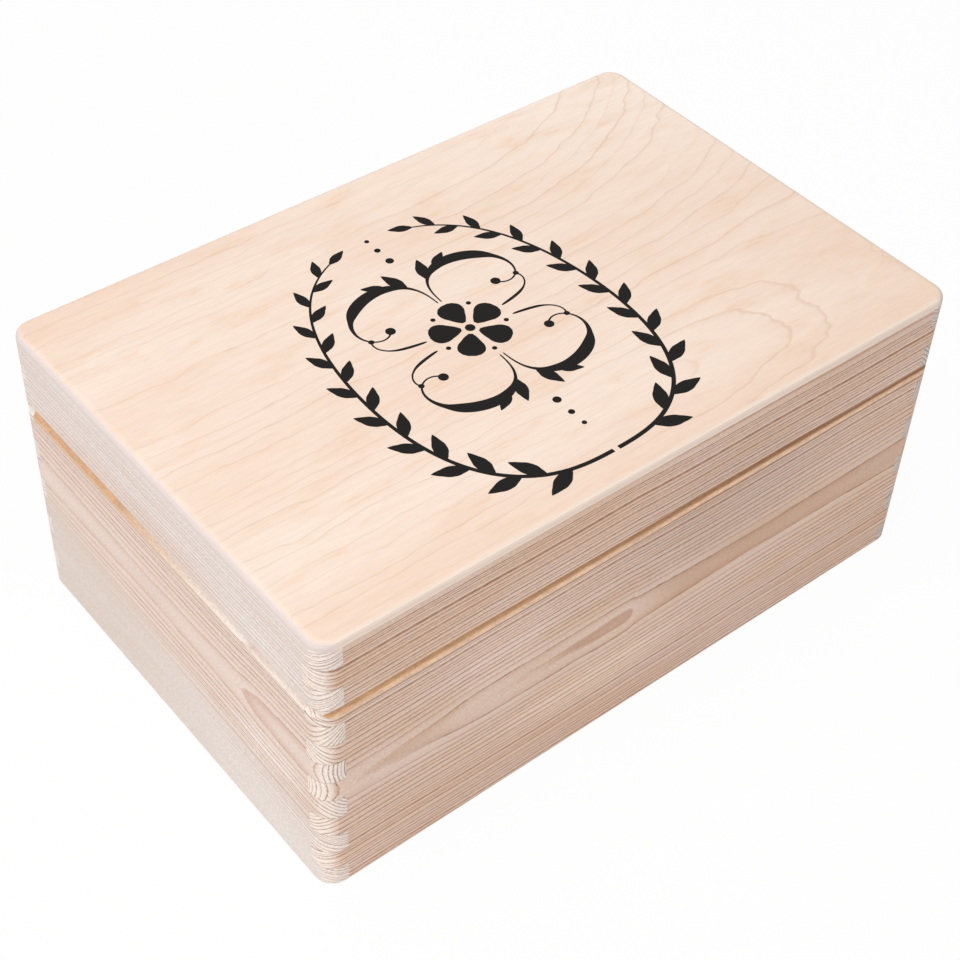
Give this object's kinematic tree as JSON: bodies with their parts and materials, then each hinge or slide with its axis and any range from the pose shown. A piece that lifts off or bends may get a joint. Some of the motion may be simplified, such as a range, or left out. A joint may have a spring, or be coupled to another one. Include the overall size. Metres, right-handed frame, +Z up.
{
  "type": "wooden box",
  "caption": "Low rectangular keepsake box of finger-jointed pine boards with a plywood top, a V groove between base and lid, and a lid hinged at the back.",
  "frame": {"origin": "middle of the footprint on the surface the box stands on", "axes": "+X along the front from the left end to the right end, +Y from the front to the hinged back, +Z up"},
  "size_m": [0.3, 0.198, 0.134],
  "materials": {
    "pine_board": "bare sanded pine",
    "birch_plywood": "bare sanded birch veneer",
    "hinge_brass": "stamped and tumbled",
    "hinge_steel": "yellow passivated steel"
  },
  "bodies": {
    "base": {"base_front_wall": "pine_board", "base_back_wall": "pine_board", "base_left_wall": "pine_board", "base_right_wall": "pine_board", "bottom_panel": "birch_plywood", "base_hinge_leaf_left": "hinge_brass", "base_hinge_leaf_right": "hinge_brass", "hinge_pin_left": "hinge_steel", "hinge_pin_right": "hinge_steel", "base_hinge_screws_left": "hinge_steel", "base_hinge_screws_right": "hinge_steel"},
    "lid": {"lid_front_wall": "pine_board", "lid_back_wall": "pine_board", "lid_left_wall": "pine_board", "lid_right_wall": "pine_board", "top_panel": "birch_plywood", "lid_hinge_leaf_left": "hinge_brass", "lid_hinge_leaf_right": "hinge_brass", "lid_hinge_screws_left": "hinge_steel", "lid_hinge_screws_right": "hinge_steel"}
  },
  "joints": [
    {"name": "lid_hinge", "type": "hinge", "parent": "base", "child": "lid", "pos_m": [0, 0.0971, 0.0984], "axis": [-1, 0, 0], "range_deg": [0, 105]}
  ]
}
